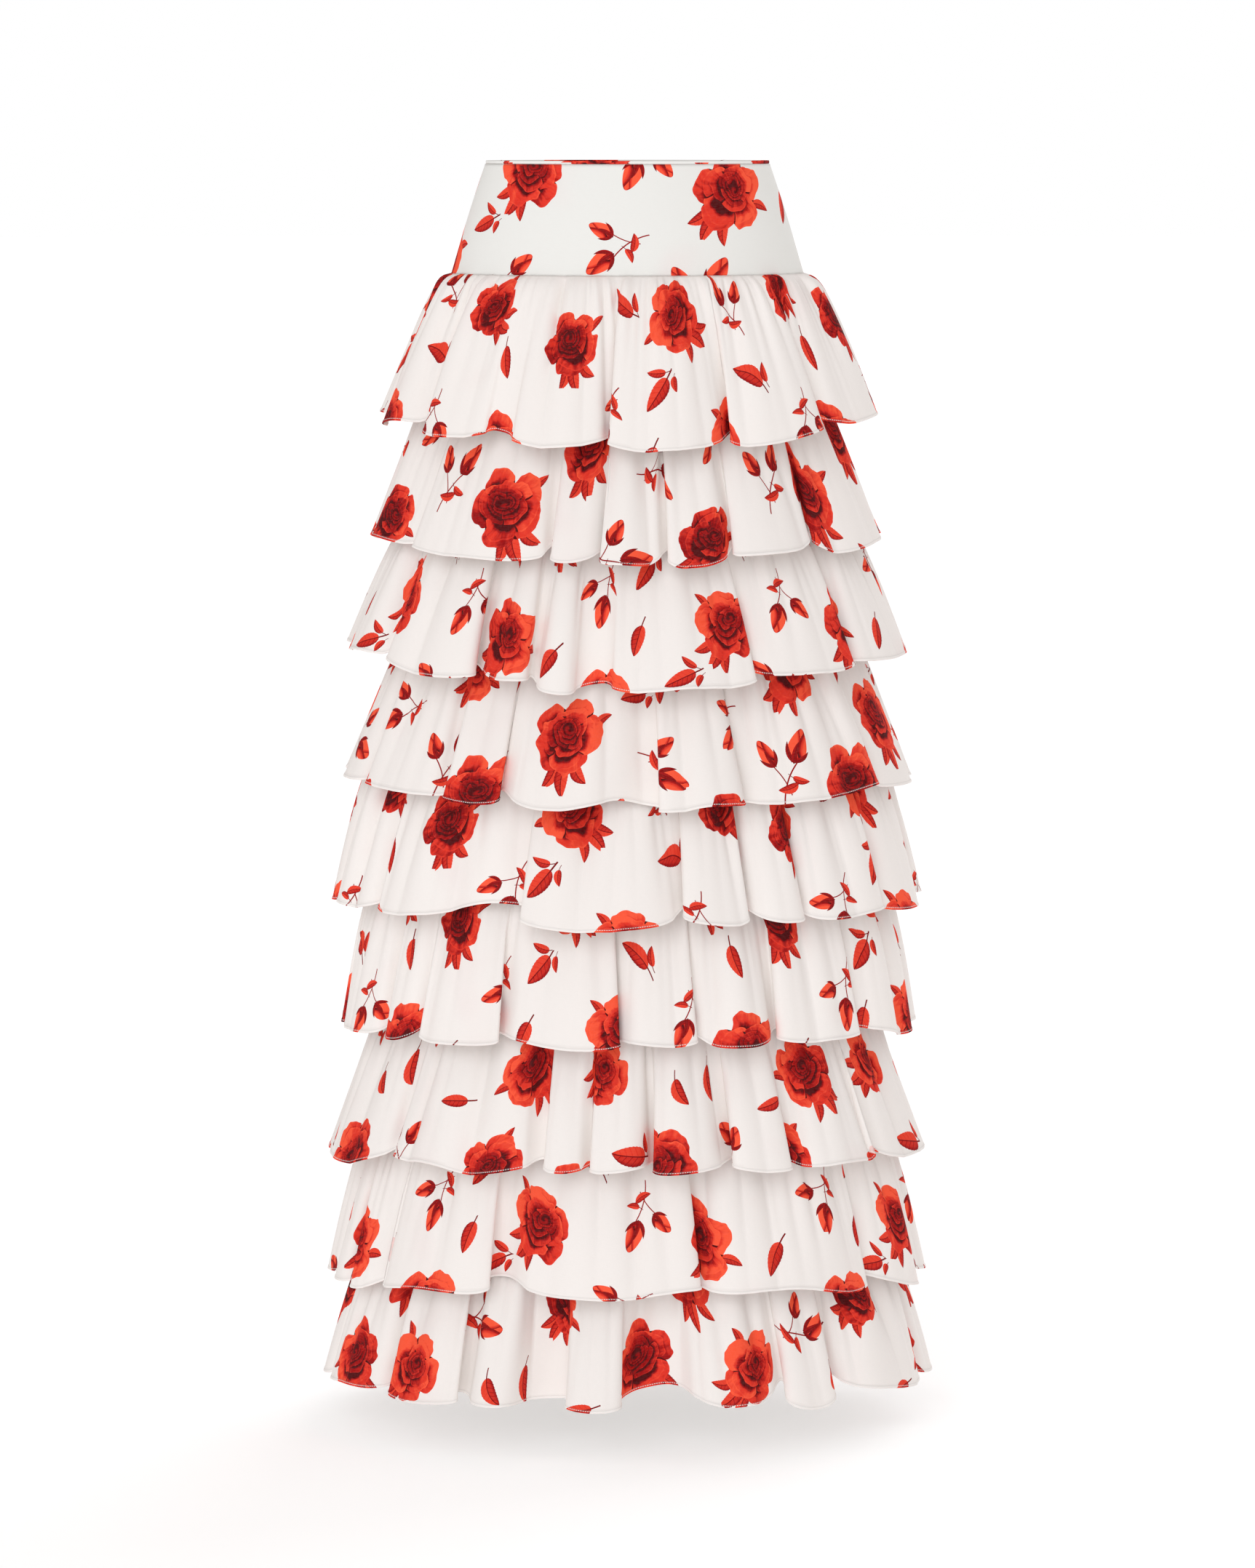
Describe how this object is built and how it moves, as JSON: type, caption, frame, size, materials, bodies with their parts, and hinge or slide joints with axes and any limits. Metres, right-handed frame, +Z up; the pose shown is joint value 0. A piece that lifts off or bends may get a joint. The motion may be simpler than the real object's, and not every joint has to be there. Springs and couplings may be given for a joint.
{
  "type": "ruffled maxi skirt",
  "caption": "High-waisted floral maxi skirt with a smooth fitted yoke and gathered ruffles down to the hem, filled out as worn.",
  "frame": {"origin": "centre of the waist opening, at the height of its top edge", "axes": "+Z up out of the waist, -Y to the front of the skirt, +X to the right of someone who faces the front"},
  "size_m": [0.5608, 0.4682, 1.1104],
  "materials": {
    "waist_edge": "narrow bound edge of the printed cotton",
    "yoke": "smooth printed cotton, lightly backed, matte",
    "base": "plain light cotton",
    "ruffle": "crisp light printed cotton, soft sheen, narrow rolled hem"
  },
  "bodies": {
    "root": {"waist_edge": "waist_edge", "yoke_front": "yoke", "yoke_back": "yoke", "base_front": "base", "base_back": "base", "ruffle_1": "ruffle", "ruffle_2": "ruffle", "ruffle_3": "ruffle", "ruffle_4": "ruffle", "ruffle_5": "ruffle", "ruffle_6": "ruffle", "ruffle_7": "ruffle", "ruffle_8": "ruffle", "ruffle_9": "ruffle"}
  },
  "joints": []
}
